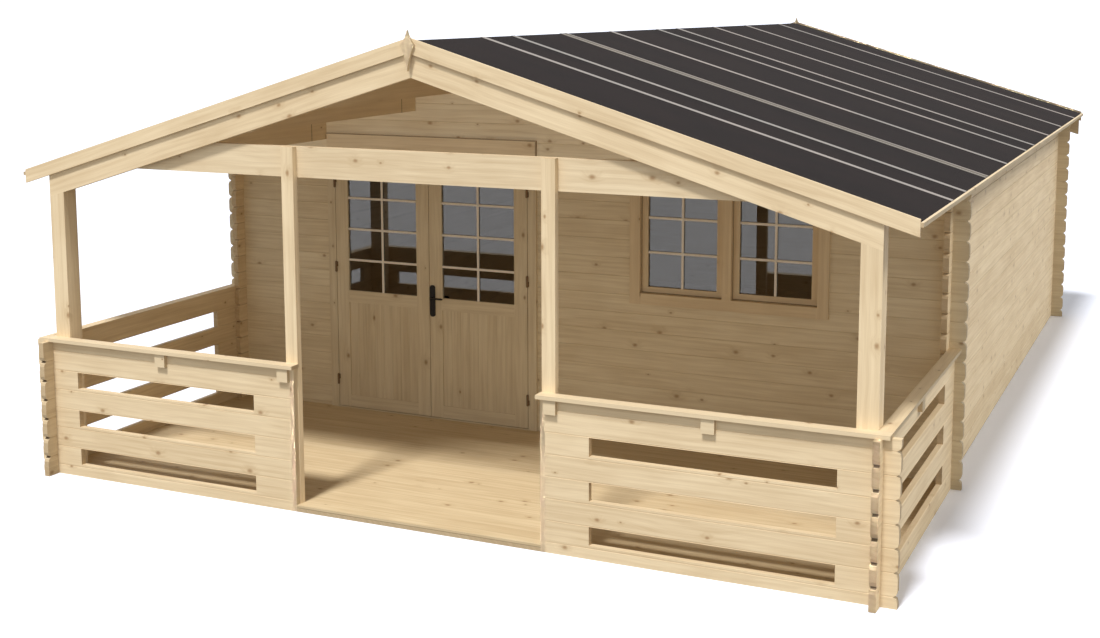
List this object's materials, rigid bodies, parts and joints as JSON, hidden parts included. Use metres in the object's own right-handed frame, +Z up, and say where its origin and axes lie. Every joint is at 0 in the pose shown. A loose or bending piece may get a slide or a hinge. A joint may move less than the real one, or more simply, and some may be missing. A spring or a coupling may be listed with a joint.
{
  "type": "log cabin",
  "caption": "Single-storey log cabin with notched corners, a glazed double door, a paired window, a felted gable roof and a covered veranda behind slotted log fences.",
  "frame": {"origin": "on the ground, at the middle of the whole plan", "axes": "+X to the right seen from the front, +Y from the veranda to the rear, +Z up"},
  "size_m": [6.126, 8.731, 3.092],
  "materials": {
    "spruce": "planed, untreated",
    "floor_wood": "planed, untreated",
    "felt": "matt mineral roofing felt",
    "glass": "clear",
    "black_metal": "satin black"
  },
  "bodies": {
    "cabin": {"cabin_floor": "floor_wood", "door_frame": "spruce", "eave_boards": "spruce", "finials": "spruce", "floor_bearers": "floor_wood", "frame_hinges": "black_metal", "front_caps": "spruce", "front_gable": "spruce", "front_wall_left": "spruce", "front_wall_right": "spruce", "left_front_fascia": "spruce", "left_front_fence": "spruce", "left_front_rafter": "spruce", "left_rear_fascia": "spruce", "left_rear_rafter": "spruce", "left_roof_boards": "spruce", "left_side_fence": "spruce", "left_wall": "spruce", "purlins": "spruce", "rear_gable": "spruce", "rear_wall": "spruce", "right_front_fascia": "spruce", "right_front_fence": "spruce", "right_front_rafter": "spruce", "right_rear_fascia": "spruce", "right_rear_rafter": "spruce", "right_roof_boards": "spruce", "right_side_fence": "spruce", "right_wall": "spruce", "roof_felt": "felt", "side_caps": "spruce", "tie_beam": "spruce", "trim_boards": "spruce", "veranda_floor": "floor_wood", "veranda_posts": "spruce", "window_frame": "spruce", "window_glass": "glass"},
    "door_left": {"door_leaf_left": "spruce", "door_glass_left": "glass", "leaf_hinges_left": "black_metal"},
    "door_right": {"door_leaf_right": "spruce", "door_glass_right": "glass", "leaf_hinges_right": "black_metal", "handle_plates": "black_metal"},
    "door_lever": {"lever_handles": "black_metal"}
  },
  "joints": [
    {"name": "left_door_swing", "type": "hinge", "parent": "cabin", "child": "door_left", "pos_m": [-1.9215, -2.1165, 0], "axis": [0, 0, -1], "range_deg": [0, 110]},
    {"name": "right_door_swing", "type": "hinge", "parent": "cabin", "child": "door_right", "pos_m": [-0.2445, -2.1165, 0], "axis": [0, 0, 1], "range_deg": [0, 110]},
    {"name": "lever_turn", "type": "hinge", "parent": "door_right", "child": "door_lever", "pos_m": [-1.0545, -2.0875, 1], "axis": [0, 1, 0], "range_deg": [0, 40], "stiffness_Nm_per_rad": 1.2, "springref_deg": -28.65}
  ]
}
